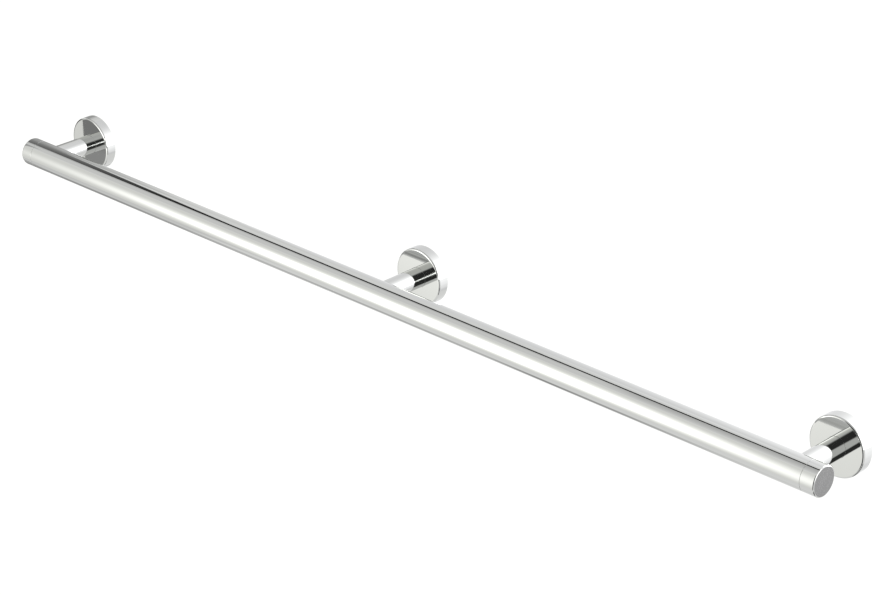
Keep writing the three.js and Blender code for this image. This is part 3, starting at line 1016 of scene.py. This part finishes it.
def steps(direction, stops):
    """Strength read off a smooth curve through (metres along a direction, level) stops."""
    def strength_of(tree, place):
        first, last = stops[0][0], stops[-1][0]
        reach = node(tree, "ShaderNodeVectorMath", {0: place, 1: direction}, operation="DOT_PRODUCT")
        share = node(tree, "ShaderNodeMapRange", {
            "Value": reach.outputs["Value"], "From Min": first, "From Max": last,
        })
        ramp = node(tree, "ShaderNodeValToRGB", {"Fac": share.outputs["Result"]})
        ramp.color_ramp.interpolation = "EASE"
        marks = ramp.color_ramp.elements
        while len(marks) < len(stops):
            marks.new(0.5)
        for mark, (where, level) in zip(marks, stops):
            mark.position = (where - first) / (last - first)
            mark.color = (level, level, level, 1)
        return ramp.outputs["Color"]
    return strength_of


def even(level):
    """The same strength all over."""
    return lambda tree, place: level


def chosen(operation, strengths):
    """One of several strengths at each point, taken two at a time by the named operation."""
    def strength_of(tree, place):
        result = strengths[0](tree, place)
        for other in strengths[1:]:
            result = node(tree, "ShaderNodeMath", {0: result, 1: other(tree, place)},
                          operation=operation).outputs[0]
        return result
    return strength_of


def least(*strengths):
    """The lowest of several strengths."""
    return chosen("MINIMUM", strengths)


def most(*strengths):
    """The highest of several strengths."""
    return chosen("MAXIMUM", strengths)


# The room, in metres.
X, Y, Z = (1, 0, 0), (0, 1, 0), (0, 0, 1)
FRONT_Y = -0.85
BACK_Y = 0.85
LEFT_X = -2.6
RIGHT_X = 1.6
CEILING_Z = 1.0
FLOOR_Z = -0.9
FLOOR_HALF = 30.0
LAYER = 0.01         # between cards that lie over one another
FLAG_Y = -0.1
FLAG_JOIN_Z = -0.018


def standing_card(name, x0, x1, y, z0, z1, material):
    """A card that faces along Y."""
    card(name, [(x0, y, z0), (x1, y, z0), (x1, y, z1), (x0, y, z1)], material)


def side_card(name, x, y0, y1, z0, z1, material):
    """A card that faces along X."""
    card(name, [(x, y0, z0), (x, y1, z0), (x, y1, z1), (x, y0, z1)], material)


def lying_card(name, corners_xy, z, material):
    """A card that lies level."""
    card(name, [(x, y, z) for x, y in corners_xy], material)


def white_room():
    """Soft lamps front left and back right of the rail, and the dark gaps between them."""
    # Lamps: a broad one front left, another back right with a bright strip before it, one at the right.
    standing_card("lamp_front_left", LEFT_X, 0.9, FRONT_Y, FLOOR_Z, 1.6,
                  glowing("cloth_front_left", "#fffffc",
                          lamp_behind_cloth((-0.53, FRONT_Y, -0.01), (0.46, 1, 0.3), 1.0, 1.7, 2.5)))
    upper = most(lamp_behind_cloth((1.0, BACK_Y, 0.5), (0.6, 1, 0.75), 0.99, 1.25, 0.6),
                 steps(Z, [(0.9, 0.9), (1.6, 1.14)]))
    lower = steps(Z, [(-0.87, 0.95), (-0.7, 1.24), (-0.5, 1.44), (-0.3, 1.58), (-0.1, 1.75), (0.1, 12.0)])
    standing_card("lamp_back_right", -1.1, 3.2, BACK_Y, FLOOR_Z, 2.6,
                  glowing("cloth_back_right", "#fdfdff", least(upper, lower)))
    standing_card("lamp_strip", 0.45, 1.35, BACK_Y - LAYER, -0.18, 0.28,
                  glowing("strip_light", "#fdfdff", even(8.0)))
    side_card("lamp_right", RIGHT_X, -0.75, 0.55, -0.1, 1.5, glowing("cloth_right", "#ffffff", even(2.4)))

    # The dark part of the room in front of the rail, and black flags at its left end.
    standing_card("gap_camera", 0.15, 1.27, FRONT_Y + LAYER, FLOOR_Z, 1.6,
                  glowing("dark_room", "#ffffff",
                          steps(X, [(0.15, 1.0), (0.48, 0.05), (1.15, 0.05), (1.27, 1.0)])))
    standing_card("flag_left_low", -0.668, -0.622, FLAG_Y, -0.1, FLAG_JOIN_Z,
                  glowing("black_flag_low", "#ffffff", steps(Z, [(-0.065, 0.38), (-0.05, 0.27)])))
    standing_card("flag_left_high", -0.668, -0.6, FLAG_Y, FLAG_JOIN_Z, 0.06,
                  glowing("black_flag_high", "#ffffff", steps(X, [(-0.65, 0.35), (-0.605, 0.55)])))
    side_card("flag_far_left", -0.85, -0.2, 0.08, -0.2, 0.06,
              glowing("black_flag_side", "#ffffff", even(0.05)))
    lying_card("floor_dark_right", [(0.5, -0.5), (1.4, -0.5), (1.4, 0.05), (0.5, 0.05)], FLOOR_Z + LAYER,
               glowing("dark_floor", "#ffffff", even(0.08)))

    # The ceiling, with a narrow dark gap that runs the length of the rail.
    cloth_levels = [(-0.9, 1.08), (-0.62, 0.88), (-0.3, 0.88), (-0.05, 0.7)]
    lying_card("ceiling", [(LEFT_X, -1.4), (RIGHT_X, -1.4), (RIGHT_X, 0.0), (LEFT_X, 0.0)],
               CEILING_Z + 2 * LAYER, glowing("ceiling_cloth", "#ffffff", steps(Y, cloth_levels)))
    lying_card("ceiling_right", [(-0.45, -0.65), (0.7, -0.65), (0.7, 0.0), (-0.45, 0.0)],
               CEILING_Z + LAYER, glowing("ceiling_shade", "#ffffff", most(
                   steps(X, [(-0.45, 0.88), (-0.05, 0.0)]),
                   steps(Y, [(-0.65, 0.88), (-0.34, 0.74), (-0.2, 0.66)]))))
    lying_card("gap_ceiling", [(0.7, -0.085), (0.7, 0.02), (-1.2, 0.165), (-1.2, -0.05)], CEILING_Z,
               glowing("dark_gap", "#ffffff", even(0.04)))
    lying_card("gap_ceiling_right", [(2.4, -0.1), (2.4, 0.05), (0.7, 0.02), (0.7, -0.085)], CEILING_Z,
               glowing("dark_gap_right", "#ffffff", even(0.04)))
    lying_card("gap_corner", [(-1.2, -0.05), (-1.2, 0.165), (-2.1, 0.93), (LEFT_X, 0.0)], CEILING_Z,
               glowing("dark_corner", "#ffffff", steps(X, [(-2.0, 0.35), (-1.3, 0.04)])))

    # The left of the room: a shaded wall, and cards on the floor.
    standing_card("wall_back_left", LEFT_X, -1.1, BACK_Y, -0.5, CEILING_Z,
                  glowing("shaded_cloth", "#ffffff",
                          steps((1, 0, 0.36), [(-1.6, 0.44), (-1.4, 0.68), (-1.15, 0.92)])))
    left_end = steps(X, [(-1.25, 0.85), (-0.95, 1.3)])
    along = steps(X, [(-1.4, 0.42), (-1.0, 0.66), (-0.85, 0.6), (-0.7, 0.6), (-0.55, 0.64),
                      (-0.42, 0.38), (-0.33, 0.46), (0.0, 0.9), (0.2, 1.0)])
    front = steps(Y, [(-0.22, 1.0), (-0.02, 0.0)])
    back = least(steps(Y, [(0.2, 0.0), (0.45, 1.25), (0.65, 1.25), (0.8, 1.0)]),
                 steps(X, [(-1.5, 0.0), (-0.9, 1.0)]))
    lying_card("floor_cards", [(LEFT_X, FRONT_Y), (0.3, FRONT_Y), (0.3, BACK_Y), (LEFT_X, BACK_Y)],
               FLOOR_Z + LAYER / 2,
               glowing("shaded_floor", "#ffffff", least(left_end, most(along, front, back))))


def pale_floor():
    """A plain floor far larger than the view, of white matt vinyl with a very faint cloud in it."""
    material, tree = blank_material("white_vinyl")
    cloud = noise(tree, object_place(tree), 1000 / 3).outputs["Fac"]
    finish_material(tree, **{"Base Color": blend(tree, cloud, "#f4f4f2", "#f7f7f6"), "Roughness": 0.9})
    near, far = -FLOOR_HALF, FLOOR_HALF
    mesh = bpy.data.meshes.new("floor")
    mesh.from_pydata([(near, near, FLOOR_Z), (far, near, FLOOR_Z), (far, far, FLOOR_Z),
                      (near, far, FLOOR_Z)], [], [(0, 1, 2, 3)])
    mesh.materials.append(material)
    floor = bpy.data.objects.new("floor", mesh)
    bpy.context.scene.collection.objects.link(floor)
    floor.visible_glossy = False


def room_light():
    """Even white light from all round, and a weak broad one from overhead."""
    world = bpy.data.worlds.new("white_room")
    bpy.context.scene.world = world
    world.use_nodes = True
    world.node_tree.nodes["Background"].inputs["Color"].default_value = (1, 1, 1, 1)
    overhead = bpy.data.lights.new("overhead", "SUN")
    overhead.energy, overhead.angle = 0.5, math.radians(60)
    lamp = bpy.data.objects.new("overhead", overhead)
    lamp.visible_glossy = False
    bpy.context.scene.collection.objects.link(lamp)
    bpy.context.scene.view_settings.view_transform = "Standard"


white_room()
pale_floor()
room_light()
